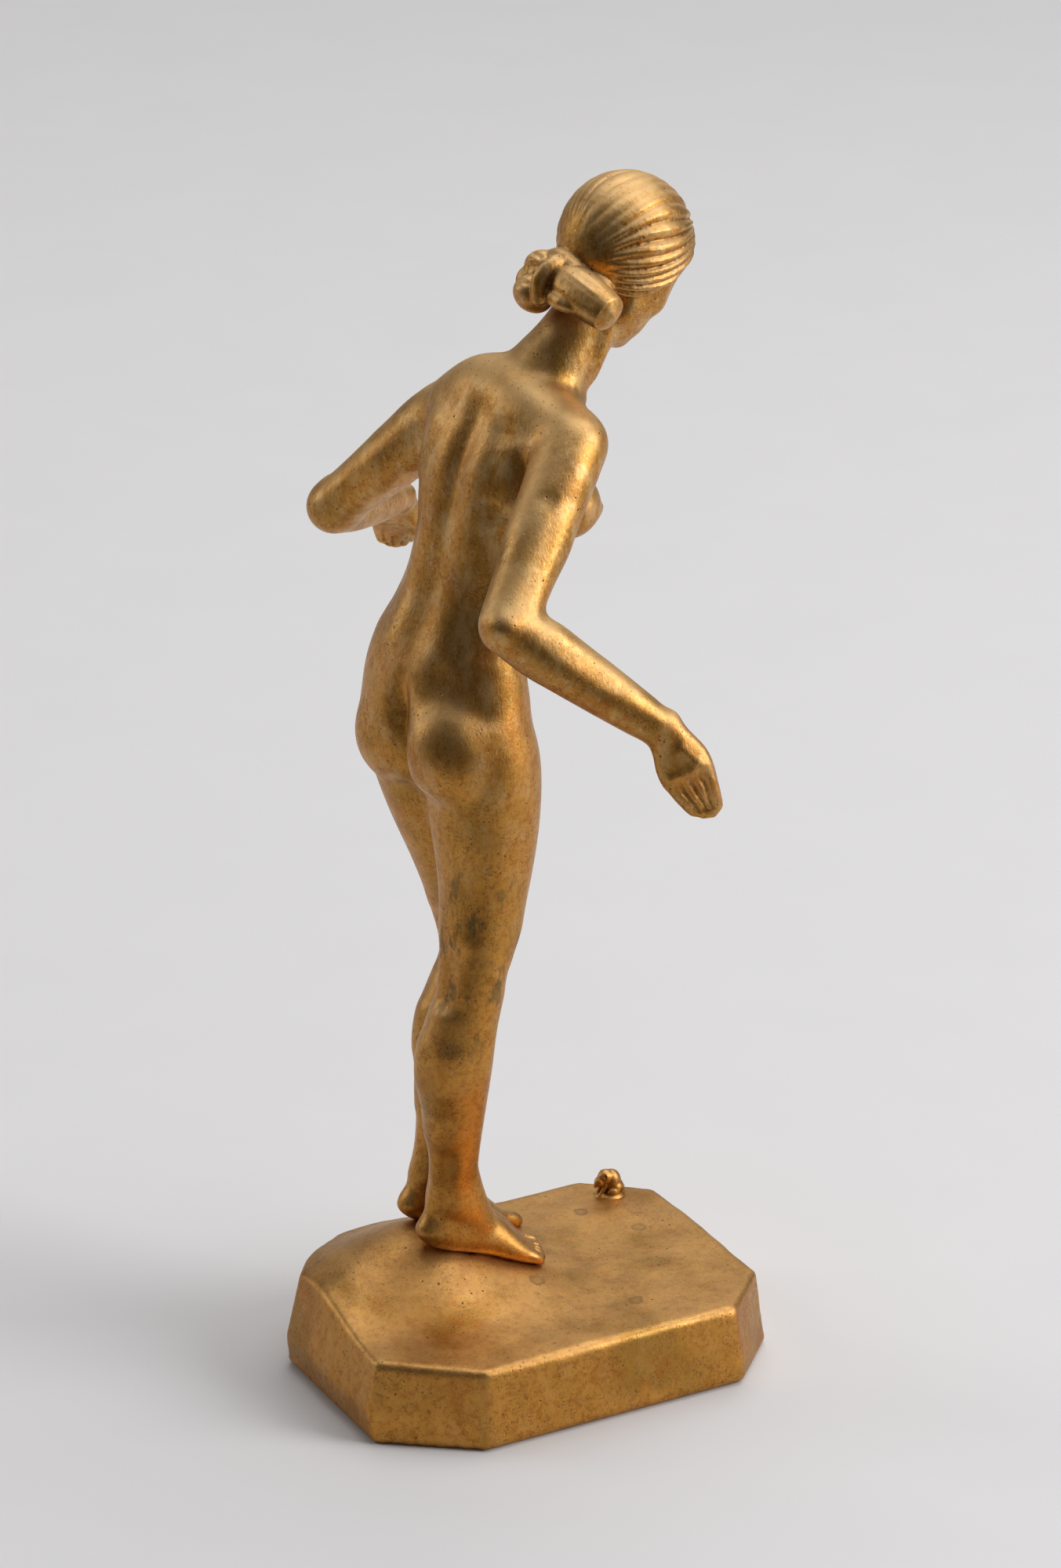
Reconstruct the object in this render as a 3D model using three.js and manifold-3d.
// A small bronze statuette: a standing woman who leans forward, arms out for balance, to look down at a mouse.
// The castings are the plinth, the figure, two arms and the mouse. Studs, nuts, pins and a rivet hold them together.
// Millimetres, +Z up. +X is the way the figure faces, and the plinth stands on Z = 0.
import * as THREE from "three";
import { mergeVertices } from "three/addons/utils/BufferGeometryUtils.js";
import Module from "manifold-3d";

const wasm = await Module();
wasm.setup();

// ---- Driving dimensions ----
const PLINTH_LENGTH = 94; // of the top face
const PLINTH_WIDTH = 71;
const PLINTH_HEIGHT = 18;
const PLINTH_FLARE = 2.3; // how far each side leans out towards the foot
const WALL = 3; // thickness of the plinth's shell
const MOUND_HEIGHT = 13; // rise of the ground under the heels
const MOUND_CENTRE = [-23, 11];
const GAP = 0.3; // clearance between fitted castings
const STUD_RADIUS = 1.5;
const NUT_ACROSS_FLATS = 5.5;
const NUT_HEIGHT = 2.4;
const WASHER_RADIUS = 3.5;
const WASHER_THICKNESS = 0.6;
const BOSS_RADIUS = 4.6;
const TENON_RADIUS = 3.4;
const TENON_LENGTH = 7;
const PIN_RADIUS = 0.8;
const JOINT_AT = 15; // how far down the upper arm its joint is cut
const PIN_LENGTH = 12;
const ROUND = 16; // sides of a body form
const MOUSE_AT = [37.6, 25];
const MOUSE_SCREW_RADIUS = 1;
const FLOOR_OF_BOSS = 11; // height of the seat for the washers

// Corner cuts of the plinth, [along its length, along its width]. The model is hand made, so no two match.
const CUT_BACK_RIGHT = [18, 14];
const CUT_FRONT_RIGHT = [13, 13];
const CUT_FRONT_LEFT = [14, 11];
const CUT_BACK_LEFT = [17, 17];

// Joints of the body. The figure's right side is at -Y.
const HIP_RIGHT = [-14.6, -2.6, 157];
const KNEE_RIGHT = [-16.6, -5, 98];
const ANKLE_RIGHT = [-17.3, 3.6, 42];
const HIP_LEFT = [-18, 20, 155.5];
const KNEE_LEFT = [-2.4, 14.6, 97];
const ANKLE_LEFT = [-13.9, 16.2, 42];
const TOE_RIGHT = [5.5, 4.5, 21.5];
const TOE_LEFT = [9.5, 20.5, 21.5];
const SHOULDER_RIGHT = [3.6, -17.9, 225.3];
const ELBOW_RIGHT = [-23.4, -35.2, 194.2];
const WRIST_RIGHT = [7.4, -48, 169];
const SHOULDER_LEFT = [-5, 26, 221.6];
const ELBOW_LEFT = [-20.4, 53.4, 192.4];
const WRIST_LEFT = [5, 72.4, 182];
const TIP_RIGHT = [15, -53, 149.5];
const TIP_LEFT = [9.6, 85.4, 166.6];
const HEAD = [24.6, 3, 258];

const FORWARD = [1, 0, 0];
const UPWARD = [0, 0, 1];
const PELVIS_FRONT = [0.954, 0.29, 0];
const CHEST_FRONT = [0.984, 0.18, 0];
const FACE_FRONT = [0.69, 0.18, -0.7];
const PALM_RIGHT = [0.5, 0.8, -0.2];
const PALM_LEFT = [-0.34, -0.63, -0.69];

const vector = (a) => new THREE.Vector3(...a);
const mix = (a, b, t) => a.map((value, i) => value + (b[i] - value) * t);
const leftOf = (front) => vector(UPWARD).cross(vector(front)).normalize();
// A point moved ahead and to the left, as one who faces `front` would say it, and up.
const shift = (at, front, ahead, left = 0, up = 0) =>
  vector(at)
    .addScaledVector(vector(front), ahead)
    .addScaledVector(leftOf(front), left)
    .add(new THREE.Vector3(0, 0, up))
    .toArray();

// ---- Solids ----
function solid(geometry) {
  const bare = geometry.index ? geometry.toNonIndexed() : geometry.clone();
  bare.deleteAttribute("normal");
  bare.deleteAttribute("uv");
  const merged = mergeVertices(bare, 1e-4);
  return new wasm.Manifold(
    new wasm.Mesh({
      numProp: 3,
      vertProperties: merged.attributes.position.array,
      triVerts: new Uint32Array(merged.index.array),
    }),
  );
}

function geometryOf(made) {
  const mesh = made.getMesh();
  return new THREE.BufferGeometry()
    .setAttribute("position", new THREE.BufferAttribute(mesh.vertProperties, 3))
    .setIndex(new THREE.BufferAttribute(mesh.triVerts, 1))
    .toNonIndexed();
}

const join = (...solids) => solids.reduce((sum, next) => sum.add(next));

// Turns +Z onto a direction.
const turnTo = (direction) =>
  new THREE.Quaternion().setFromUnitVectors(vector(UPWARD), vector(direction).normalize());

// An ellipsoid with its radii across, to the front and up, turned so that its front faces `front`.
function ball(at, [across, deep, tall], front = FORWARD, tilt = UPWARD, sides = 14) {
  const geometry = new THREE.SphereGeometry(1, sides, Math.round(sides * 0.6));
  geometry.rotateX(Math.PI / 2).scale(deep, across, tall);
  const y = vector(tilt).cross(vector(front)).normalize();
  const x = vector(front).normalize();
  const z = x.clone().cross(y);
  geometry.applyMatrix4(new THREE.Matrix4().makeBasis(x, y, z).setPosition(...at));
  return solid(geometry);
}

function rod(from, to, radius, sides = ROUND) {
  const a = vector(from);
  const b = vector(to);
  const geometry = new THREE.CylinderGeometry(radius, radius, a.distanceTo(b), sides);
  geometry.rotateX(Math.PI / 2).applyQuaternion(turnTo(b.clone().sub(a).toArray()));
  const middle = a.add(b).multiplyScalar(0.5);
  return solid(geometry.translate(middle.x, middle.y, middle.z));
}

// A body form swept through stations [centre, half width, depth in front, depth behind].
// `front` is the way its front faces: one direction, or one for the first station and one for the last.
function form(front, stations, { between = 2, sides = ROUND, cap = 0.35 } = {}) {
  const fronts = Array.isArray(front[0]) ? front : [front, front];
  const path = new THREE.CatmullRomCurve3(stations.map((s) => vector(s[0])));
  const sizes = new THREE.CatmullRomCurve3(stations.map((s) => new THREE.Vector3(s[1], s[2], s[3])));
  const rows = (stations.length - 1) * between + 1;
  const geometry = new THREE.SphereGeometry(1, sides, rows + 1);
  const position = geometry.attributes.position;
  const point = new THREE.Vector3();
  for (let row = 0; row <= rows + 1; row++) {
    const t = THREE.MathUtils.clamp((row - 1) / (rows - 1), 0, 1);
    const centre = path.getPoint(t);
    const along = path.getTangent(t);
    const size = sizes.getPoint(t);
    const ahead = vector(mix(fronts[0], fronts[1], t));
    ahead.addScaledVector(along, -ahead.dot(along)).normalize();
    const side = ahead.clone().cross(along);
    const pole = row === 0 ? -1 : row === rows + 1 ? 1 : 0;
    for (let column = 0; column <= sides; column++) {
      const angle = ((column % sides) * 2 * Math.PI) / sides;
      const depth = Math.sin(angle) > 0 ? size.y : size.z;
      point.copy(centre);
      if (pole) point.addScaledVector(along, pole * cap * size.x);
      else {
        point.addScaledVector(side, -Math.cos(angle) * size.x);
        point.addScaledVector(ahead, Math.sin(angle) * depth);
      }
      position.setXYZ(row * (sides + 1) + column, point.x, point.y, point.z);
    }
  }
  const made = solid(geometry);
  if (made.volume() > 0) return made;
  const index = geometry.index.array;
  for (let i = 0; i < index.length; i += 3) [index[i + 1], index[i + 2]] = [index[i + 2], index[i + 1]];
  return solid(geometry);
}

// ---- Plinth ----
// The eight-sided outline, grown by a distance on every side.
function outline(grow) {
  const x = PLINTH_LENGTH / 2 + grow;
  const left = x + grow * 0.7; // the end behind the heels leans out the most
  const y = PLINTH_WIDTH / 2 + grow;
  const slant = grow * 0.6;
  const cut = ([cx, cy]) => [cx + slant, cy + slant];
  const [brx, bry] = cut(CUT_BACK_RIGHT);
  const [frx, fry] = cut(CUT_FRONT_RIGHT);
  const [flx, fly] = cut(CUT_FRONT_LEFT);
  const [blx, bly] = cut(CUT_BACK_LEFT);
  return [
    [-left, -y + bry],
    [-x + brx, -y],
    [x - frx, -y],
    [x, -y + fry],
    [x, y - fly],
    [x - flx, y],
    [-x + blx, y],
    [-left, y - bly],
  ];
}

// A column on that outline from z = low to z = high, leaning in by the flare over the plinth's height.
function column(grow, low, high) {
  const flat = (grown, z) => outline(grown).map(([x, y]) => new THREE.Vector3(x, y, z));
  const lean = (z) => grow + PLINTH_FLARE * (1 - z / PLINTH_HEIGHT);
  const bottom = flat(lean(low), low);
  const top = flat(lean(high), high);
  const shape = new THREE.Shape(bottom.map((p) => new THREE.Vector2(p.x, p.y)));
  const geometry = new THREE.ExtrudeGeometry(shape, { depth: 1, bevelEnabled: false });
  const position = geometry.attributes.position;
  for (let i = 0; i < position.count; i++) {
    const upper = position.getZ(i) > 0.5;
    const near = (p) => (p.x - position.getX(i)) ** 2 + (p.y - position.getY(i)) ** 2;
    const corner = bottom.reduce((best, p, k) => (near(p) < near(bottom[best]) ? k : best), 0);
    position.setXYZ(i, ...(upper ? top : bottom)[corner].toArray());
  }
  return solid(geometry);
}

// The mound is a bell: steep near its top and spreading over the left end of the plinth.
function bell(drop) {
  const profile = [];
  const steps = 9;
  const reach = 46;
  for (let i = 0; i <= steps; i++) {
    const r = (reach * i) / steps;
    profile.push(new THREE.Vector2(r, MOUND_HEIGHT * Math.exp(-((r / 19) ** 2) * 0.9)));
  }
  profile.push(new THREE.Vector2(reach, -6), new THREE.Vector2(0, -6));
  const geometry = new THREE.LatheGeometry(profile.reverse(), 28);
  geometry.rotateX(Math.PI / 2).scale(1.12, 0.92, 1);
  return solid(geometry.translate(MOUND_CENTRE[0], MOUND_CENTRE[1], PLINTH_HEIGHT - drop));
}

function ground(raise) {
  const mound = bell(-raise).intersect(column(0, 1, PLINTH_HEIGHT * 3));
  return column(0, 0, PLINTH_HEIGHT + raise).add(mound);
}

// ---- Figure ----
function leg(hip, knee, ankle, front, bow) {
  const thigh = (t, ahead = 0) => shift(mix(hip, knee, t), front, ahead);
  const shank = (t, ahead = 0) => shift(mix(knee, ankle, t), front, ahead);
  return form(front, [
    [thigh(-0.08), 11, 11, 12],
    [thigh(0.12, bow), 12.6, 13, 12.8],
    [thigh(0.36, bow * 1.5), 11.8, 12.4, 11.8],
    [thigh(0.62, bow * 1.3), 10.2, 11, 10],
    [thigh(0.86, bow * 0.5), 8.6, 9, 8.4],
    [shank(0.03), 7.8, 8.2, 7.6],
    [shank(0.17, -1), 8.2, 7.8, 8.2],
    [shank(0.34, -2), 8.5, 7.6, 9],
    [shank(0.55, -1.6), 7.2, 6.8, 7.8],
    [shank(0.76, -0.8), 5.6, 5.8, 6.2],
    [shank(0.93), 5.2, 5.8, 6.2],
    [shank(1.05), 5.4, 6.2, 6.6],
  ]);
}

// The foot runs forward and down the slope, so the front of its form is upwards.
function foot(ankle, toe) {
  const heel = [ankle[0] - 8.4, ankle[1] - 0.8, ankle[2] - 8];
  const at = (t, lift) => mix(heel, toe, t).map((v, i) => (i === 2 ? v + lift : v));
  return form(UPWARD, [
    [at(-0.04, 1.4), 3.4, 3.6, 2.6],
    [at(0.1, 1), 4.8, 6.4, 4],
    [at(0.3, 1.2), 4.9, 8, 4],
    [at(0.52, 1.2), 5.3, 5.8, 3.6],
    [at(0.74, 0.6), 6.2, 3.4, 3.2],
    [at(0.92, 0), 5.8, 2.1, 2.4],
    [at(1, 0), 4.6, 1.5, 1.8],
  ]);
}

function trunk() {
  return form([PELVIS_FRONT, CHEST_FRONT], [
    [[-15, 8.8, 141], 10, 7, 8],
    [[-15.4, 8.9, 146], 19, 12.6, 12],
    [[-15.8, 9.1, 155], 23.2, 14.6, 14],
    [[-15.2, 9.2, 164], 22.2, 14.6, 13.4],
    [[-13.8, 8.8, 174], 19.2, 13.4, 11.4],
    [[-11.6, 8, 184], 16.4, 12, 10],
    [[-8.8, 7, 194], 16.6, 12, 10.6],
    [[-6, 6, 204], 18.2, 12.6, 12],
    [[-3.4, 5.2, 213], 19.6, 12.6, 13],
    [[-1, 4.6, 221], 19.4, 10.4, 12.6],
    [[1.6, 4, 228], 15.4, 8, 10.4],
    [[4, 3.6, 234], 10, 6.4, 8.6],
  ]);
}

// The collar runs from shoulder to shoulder and carries the slope of the neck's muscles.
function collar() {
  const at = (t, rise) => mix(SHOULDER_RIGHT, SHOULDER_LEFT, t).map((v, i) => (i === 2 ? v + rise : v));
  return form(UPWARD, [
    [at(0, 0), 7, 6.6, 8],
    [at(0.16, 0.4), 8, 6.6, 9],
    [at(0.36, 1.4), 8.8, 7.6, 9],
    [at(0.5, 2.4), 9, 8.8, 9],
    [at(0.64, 3), 8.8, 8.6, 9],
    [at(0.84, 2), 8, 7.4, 9],
    [at(1, 0), 7, 6.6, 8],
  ]);
}

function headAndNeck() {
  const up = vector(FACE_FRONT).cross(leftOf(FACE_FRONT));
  const place = (ahead, above) =>
    vector(HEAD).addScaledVector(vector(FACE_FRONT), ahead).addScaledVector(up, above).toArray();
  const neck = form(CHEST_FRONT, [
    [[1, 3.6, 226], 11, 8.6, 9],
    [[4.6, 3, 233], 8.6, 7.6, 8.4],
    [[9.4, 2.6, 239], 7.3, 7, 7.6],
    [[14.4, 2.8, 244.6], 7, 6.8, 7.4],
    [[20, 3, 251], 7.2, 6.6, 7.4],
  ]);
  const crown = up.toArray();
  const skull = ball(place(-2, 2), [13.4, 14.6, 14.6], FACE_FRONT, crown, 20);
  const face = ball(place(5.4, -6), [10, 8.6, 11.4], FACE_FRONT, crown, 18);
  const chin = ball(place(8.6, -14), [4.6, 3.8, 3.8], FACE_FRONT, crown, 10);
  const bun = ball(place(-10.6, -12.6), [11.4, 6, 5.4], FACE_FRONT, crown, 16);
  return join(neck, skull, face, chin, bun);
}

const buttock = (hip, side) =>
  ball(shift(hip, PELVIS_FRONT, -5, side * -0.8, -3.4), [12.2, 10, 12.8], PELVIS_FRONT);
const breast = (side) =>
  ball(shift([-2, 5, 210], CHEST_FRONT, 9.4, side * 9.2), [7.8, 7, 7.4], CHEST_FRONT);

function arm(shoulder, elbow, wrist, tip, palm) {
  const upper = (t) => mix(shoulder, elbow, t);
  const lower = (t) => mix(elbow, wrist, t);
  const hand = (t) => mix(wrist, tip, t);
  return join(
    ball(mix(shoulder, elbow, 0.02), [7.4, 7.4, 7.4]),
    form(FORWARD, [
      [upper(0.02), 7.2, 7, 7.2],
      [upper(0.2), 7.4, 6.9, 7.4],
      [upper(0.5), 6.8, 6.5, 6.9],
      [upper(0.8), 6.1, 5.9, 6.3],
      [upper(1), 5.8, 5.6, 5.8],
    ]),
    ball(elbow, [6, 6, 6]),
    form(palm, [
      [lower(0), 5.7, 5.5, 5.7],
      [lower(0.25), 6, 5.7, 5.7],
      [lower(0.6), 5.2, 5, 5],
      [lower(0.9), 4.5, 3.8, 3.8],
      [lower(1.04), 4.6, 3.2, 3.2],
    ]),
    form(palm, [
      [hand(-0.06), 4.4, 3.2, 3.2],
      [hand(0.24), 6.2, 3, 3],
      [hand(0.5), 6.6, 2.6, 2.6],
      [hand(0.78), 5.4, 2, 2],
      [hand(1), 3.2, 1.3, 1.3],
    ]),
  );
}

// The arm is cast apart from the body. A tenon on it enters a socket in the shoulder, and a pin crosses both.
// The seam is square to the upper arm.
function splitArm(whole, shoulder, elbow) {
  const along = vector(elbow).sub(vector(shoulder)).normalize();
  const point = (d) => vector(shoulder).addScaledVector(along, JOINT_AT + d).toArray();
  const beyond = (d) => {
    const half = 100;
    const box = new THREE.BoxGeometry(2 * half, 2 * half, 2 * half).translate(0, 0, half + JOINT_AT + d);
    return solid(box.applyQuaternion(turnTo(along.toArray())).translate(...shoulder));
  };
  const across = along.clone().cross(vector(UPWARD)).normalize();
  const pinCentre = vector(point(-TENON_LENGTH * 0.55));
  const pinEnd = (d) => pinCentre.clone().addScaledVector(across, d).toArray();
  const pin = (radius, length) => rod(pinEnd(-length / 2), pinEnd(length / 2), radius, 10);
  const hole = pin(PIN_RADIUS + GAP, PIN_LENGTH + 2 * GAP);
  const tenon = rod(point(-TENON_LENGTH), point(2), TENON_RADIUS);
  const socket = rod(point(-TENON_LENGTH - GAP), point(1), TENON_RADIUS + GAP);
  return {
    cast: whole.intersect(beyond(GAP / 2)).add(tenon).subtract(hole),
    stub: whole.subtract(beyond(-GAP / 2)),
    opening: socket.add(hole),
    pin: pin(PIN_RADIUS, PIN_LENGTH),
  };
}

// ---- Mouse ----
// It sits up on a little hump of ground and faces the figure, nose up.
function mouse(z) {
  const at = (ahead, up) => [MOUSE_AT[0] - ahead, MOUSE_AT[1], z + up];
  return join(
    ball(at(0, 0), [4.2, 4.6, 1.2], FORWARD, UPWARD, 12),
    ball(at(-0.8, 2.6), [2.4, 2.7, 2.9], FORWARD, UPWARD, 12),
    ball(at(1.1, 4.9), [1.7, 2.1, 1.7], FORWARD, UPWARD, 12),
    ball(at(0.2, 6.3), [1.9, 0.6, 0.8], FORWARD, UPWARD, 8),
  );
}

// ---- Fasteners ----
const studs = {
  right: { at: [-14, 3.6], top: 34 },
  left: { at: [-10, 17.4], top: 33 },
};
const upright = ([x, y], low, high, radius, sides = ROUND) => rod([x, y, low], [x, y, high], radius, sides);

function nut([x, y], top, across) {
  const hex = new THREE.CylinderGeometry(across / Math.sqrt(3), across / Math.sqrt(3), NUT_HEIGHT, 6);
  return solid(hex.rotateX(Math.PI / 2).translate(x, y, top - NUT_HEIGHT / 2));
}

// ---- Castings put together ----
const made = {};

const rightArm = splitArm(
  arm(SHOULDER_RIGHT, ELBOW_RIGHT, WRIST_RIGHT, TIP_RIGHT, PALM_RIGHT), SHOULDER_RIGHT, ELBOW_RIGHT);
const leftArm = splitArm(
  arm(SHOULDER_LEFT, ELBOW_LEFT, WRIST_LEFT, TIP_LEFT, PALM_LEFT), SHOULDER_LEFT, ELBOW_LEFT);

const body = join(
  trunk(),
  collar(),
  rightArm.stub,
  leftArm.stub,
  leg(HIP_RIGHT, KNEE_RIGHT, ANKLE_RIGHT, PELVIS_FRONT, 2.4),
  leg(HIP_LEFT, KNEE_LEFT, ANKLE_LEFT, PELVIS_FRONT, 0.4),
  foot(ANKLE_RIGHT, TOE_RIGHT),
  foot(ANKLE_LEFT, TOE_LEFT),
  buttock(HIP_RIGHT, -1),
  buttock(HIP_LEFT, 1),
  breast(-1),
  breast(1),
  headAndNeck(),
);

const boss = ({ at, top }) => upright(at, FLOOR_OF_BOSS, top, BOSS_RADIUS).intersect(ground(-WALL / 2));
const studHole = ({ at, top }) => upright(at, 1, top + GAP, STUD_RADIUS + GAP, 12);
const studHoles = join(studHole(studs.right), studHole(studs.left));
const hollow = column(-WALL, -1, PLINTH_HEIGHT * 3).intersect(ground(-WALL).add(column(-WALL, -2, 2)));
const screwHole = upright(MOUSE_AT, PLINTH_HEIGHT - WALL - 1, PLINTH_HEIGHT + 2.4, MOUSE_SCREW_RADIUS + GAP, 12);

made.plinth = join(ground(0).subtract(hollow), boss(studs.right), boss(studs.left))
  .subtract(studHoles)
  .subtract(screwHole);
made.figure = body.subtract(ground(GAP)).subtract(rightArm.opening).subtract(leftArm.opening).subtract(studHoles);
made.right_arm = rightArm.cast;
made.left_arm = leftArm.cast;
made.right_arm_pin = rightArm.pin;
made.left_arm_pin = leftArm.pin;
made.mouse = mouse(PLINTH_HEIGHT).subtract(ground(GAP)).subtract(screwHole);

for (const [side, stud] of Object.entries(studs)) {
  const washerTop = FLOOR_OF_BOSS - GAP;
  const nutTop = washerTop - WASHER_THICKNESS - GAP;
  const bore = upright(stud.at, 0, FLOOR_OF_BOSS + 1, STUD_RADIUS + GAP, 12);
  const washer = upright(stud.at, washerTop - WASHER_THICKNESS, washerTop, WASHER_RADIUS);
  made[`${side}_foot_stud`] = upright(stud.at, nutTop - NUT_HEIGHT - 1, stud.top, STUD_RADIUS, 12);
  made[`${side}_foot_washer`] = washer.subtract(bore);
  made[`${side}_foot_nut`] = nut(stud.at, nutTop, NUT_ACROSS_FLATS).subtract(bore);
}

const headTop = PLINTH_HEIGHT - WALL - GAP;
made.mouse_screw = join(
  upright(MOUSE_AT, headTop - 1.2, headTop, 1.9, 12),
  upright(MOUSE_AT, headTop - 0.4, PLINTH_HEIGHT + 2, MOUSE_SCREW_RADIUS, 12),
);

// ---- The scene ----
const BRONZE = { color: 0xa9803f, metalness: 0.9, roughness: 0.42 };
const STEEL = { color: 0x8a8a88, metalness: 0.9, roughness: 0.4 };
const steel = /stud|washer|nut|screw/;

const statuette = new THREE.Group();
for (const [name, shape] of Object.entries(made)) {
  const finish = steel.test(name) ? STEEL : BRONZE;
  const mesh = new THREE.Mesh(geometryOf(shape), new THREE.MeshStandardMaterial(finish));
  mesh.name = name;
  statuette.add(mesh);
}

// The origin is under the middle of the whole model, on the surface that it stands on.
const size = new THREE.Box3().setFromObject(statuette);
const middle = size.getCenter(new THREE.Vector3());
statuette.position.set(-middle.x, -middle.y, -size.min.z);

export default statuette;
